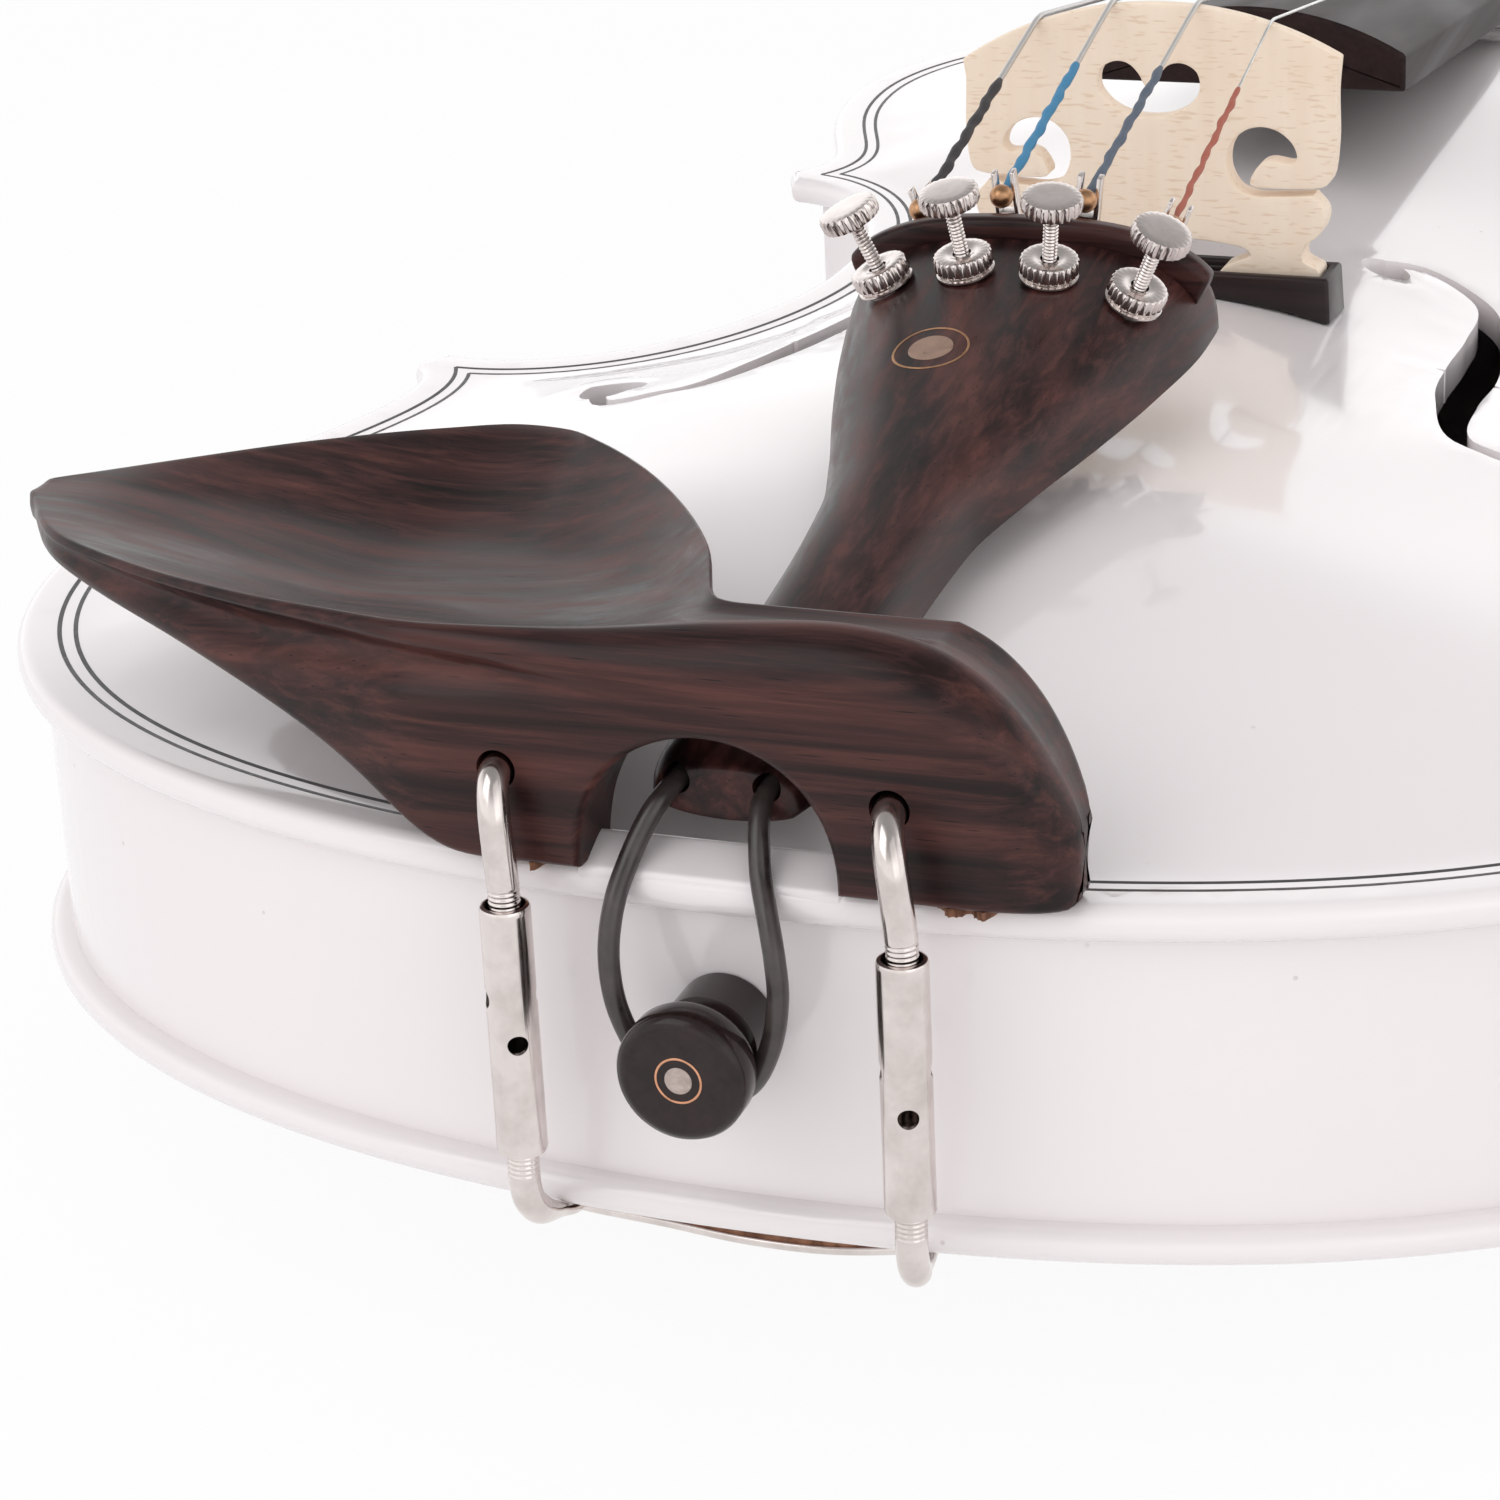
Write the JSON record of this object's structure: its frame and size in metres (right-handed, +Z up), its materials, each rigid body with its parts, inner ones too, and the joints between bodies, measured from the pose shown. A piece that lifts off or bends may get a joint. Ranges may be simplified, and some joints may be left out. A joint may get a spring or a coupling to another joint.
{
  "type": "violin",
  "caption": "Full-size violin with white lacquered body, dark fittings, fine tuners on the tailpiece and a clamped chinrest.",
  "frame": {"origin": "middle of the length and width, at the height of the lowest point", "axes": "+Y from the tail to the scroll, +X to the treble side, +Z up out of the belly"},
  "size_m": [0.2098, 0.5944, 0.1073],
  "materials": {
    "white_lacquer": "glossy white lacquer over wood",
    "spruce": "bare planed wood",
    "maple": "bare wood with small flecks",
    "rosewood": "oiled satin, dark streaks",
    "ebony": "polished near black",
    "nickel": "polished nickel plate",
    "string_steel": "fine flat winding",
    "tail_cord": "smooth dark nylon",
    "cork": "pressed cork grain"
  },
  "bodies": {
    "violin_body": {"top_plate": "white_lacquer", "back_plate": "white_lacquer", "lower_rib_bass": "white_lacquer", "waist_rib_bass": "white_lacquer", "upper_rib_bass": "white_lacquer", "lower_corner_block_bass": "spruce", "upper_corner_block_bass": "spruce", "lower_rib_treble": "white_lacquer", "waist_rib_treble": "white_lacquer", "upper_rib_treble": "white_lacquer", "lower_corner_block_treble": "spruce", "upper_corner_block_treble": "spruce", "lower_block": "spruce", "upper_block": "spruce", "top_linings": "spruce", "back_linings": "spruce", "sound_post": "spruce", "bass_bar": "spruce", "neck": "white_lacquer", "fingerboard": "ebony", "nut": "ebony", "bridge": "maple", "bridge_bar": "ebony", "tailpiece": "rosewood", "tailpiece_fret": "ebony", "tuner_body_g": "nickel", "tuner_body_d": "nickel", "tuner_body_a": "nickel", "tuner_body_e": "nickel", "string_g": "string_steel", "string_d": "string_steel", "string_a": "string_steel", "string_e": "string_steel", "end_button": "ebony", "saddle": "white_lacquer", "tail_gut": "tail_cord", "chinrest": "rosewood", "chinrest_cork_bass": "cork", "chinrest_cork_treble": "cork", "clamp_hook_bass": "nickel", "clamp_hook_treble": "nickel"},
    "peg_g": {"peg_g": "rosewood"},
    "peg_d": {"peg_d": "rosewood"},
    "peg_a": {"peg_a": "rosewood"},
    "peg_e": {"peg_e": "rosewood"},
    "tuner_g_screw": {"tuner_screw_g": "nickel"},
    "tuner_g_lever": {"tuner_lever_g": "nickel"},
    "tuner_d_screw": {"tuner_screw_d": "nickel"},
    "tuner_d_lever": {"tuner_lever_d": "nickel"},
    "tuner_a_screw": {"tuner_screw_a": "nickel"},
    "tuner_a_lever": {"tuner_lever_a": "nickel"},
    "tuner_e_screw": {"tuner_screw_e": "nickel"},
    "tuner_e_lever": {"tuner_lever_e": "nickel"},
    "clamp_bass_barrel": {"clamp_barrel_bass": "nickel"},
    "clamp_treble_barrel": {"clamp_barrel_treble": "nickel"},
    "clamp_foot": {"clamp_bracket": "nickel", "clamp_cork": "cork"}
  },
  "joints": [
    {"name": "peg_g_turn", "type": "hinge", "parent": "violin_body", "child": "peg_g", "pos_m": [0, 0.21306, 0.03677], "axis": [1, 0, 0], "continuous": true},
    {"name": "peg_d_turn", "type": "hinge", "parent": "violin_body", "child": "peg_d", "pos_m": [0, 0.23947, 0.03116], "axis": [1, 0, 0], "continuous": true},
    {"name": "peg_a_turn", "type": "hinge", "parent": "violin_body", "child": "peg_a", "pos_m": [0, 0.25267, 0.02835], "axis": [1, 0, 0], "continuous": true},
    {"name": "peg_e_turn", "type": "hinge", "parent": "violin_body", "child": "peg_e", "pos_m": [0, 0.22626, 0.03396], "axis": [1, 0, 0], "continuous": true},
    {"name": "tuner_g_screw_turn", "type": "hinge", "parent": "violin_body", "child": "tuner_g_screw", "pos_m": [-0.0136, -0.19062, 0.08775], "axis": [0.3746, 0.2086, -0.9034], "range_deg": [0, 720]},
    {"name": "tuner_g_lever_tilt", "type": "hinge", "parent": "violin_body", "child": "tuner_g_lever", "pos_m": [-0.01034, -0.17906, 0.08213], "axis": [0.9272, -0.0843, 0.365], "range_deg": [0, 6]},
    {"name": "tuner_d_screw_turn", "type": "hinge", "parent": "violin_body", "child": "tuner_d_screw", "pos_m": [-0.0044, -0.19062, 0.08979], "axis": [0.1219, 0.2233, -0.9671], "range_deg": [0, 720]},
    {"name": "tuner_d_lever_tilt", "type": "hinge", "parent": "violin_body", "child": "tuner_d_lever", "pos_m": [-0.00334, -0.17893, 0.08363], "axis": [0.9925, -0.0274, 0.1187], "range_deg": [0, 6]},
    {"name": "tuner_a_screw_turn", "type": "hinge", "parent": "violin_body", "child": "tuner_a_screw", "pos_m": [0.005, -0.19062, 0.08975], "axis": [-0.1219, 0.2233, -0.9671], "range_deg": [0, 720]},
    {"name": "tuner_a_lever_tilt", "type": "hinge", "parent": "violin_body", "child": "tuner_a_lever", "pos_m": [0.00394, -0.17893, 0.08359], "axis": [0.9925, 0.0274, -0.1187], "range_deg": [0, 6]},
    {"name": "tuner_e_screw_turn", "type": "hinge", "parent": "violin_body", "child": "tuner_e_screw", "pos_m": [0.0144, -0.19062, 0.08732], "axis": [-0.4067, 0.2055, -0.8901], "range_deg": [0, 720]},
    {"name": "tuner_e_lever_tilt", "type": "hinge", "parent": "violin_body", "child": "tuner_e_lever", "pos_m": [0.01086, -0.17908, 0.08182], "axis": [0.9135, 0.0915, -0.3963], "range_deg": [0, 6]},
    {"name": "clamp_bass_barrel_turn", "type": "hinge", "parent": "violin_body", "child": "clamp_bass_barrel", "pos_m": [-0.0188, -0.29152, 0.04435], "axis": [0, 0, 1], "range_deg": [0, 720]},
    {"name": "clamp_treble_barrel_turn", "type": "hinge", "parent": "violin_body", "child": "clamp_treble_barrel", "pos_m": [0.0208, -0.29322, 0.04435], "axis": [0, 0, 1], "range_deg": [0, 720]},
    {"name": "clamp_foot_slide", "type": "slide", "parent": "violin_body", "child": "clamp_foot", "axis": [0, 0, -1], "range_m": [0, 0.0028]}
  ],
  "couplings": [
    {"joint": "tuner_g_lever_tilt", "follows": "tuner_g_screw_turn", "ratio": 0.0083333},
    {"joint": "tuner_d_lever_tilt", "follows": "tuner_d_screw_turn", "ratio": 0.0083333},
    {"joint": "tuner_a_lever_tilt", "follows": "tuner_a_screw_turn", "ratio": 0.0083333},
    {"joint": "tuner_e_lever_tilt", "follows": "tuner_e_screw_turn", "ratio": 0.0083333},
    {"joint": "clamp_bass_barrel_turn", "follows": "clamp_foot_slide", "rad_per_m": 4488},
    {"joint": "clamp_treble_barrel_turn", "follows": "clamp_foot_slide", "rad_per_m": 4488}
  ]
}
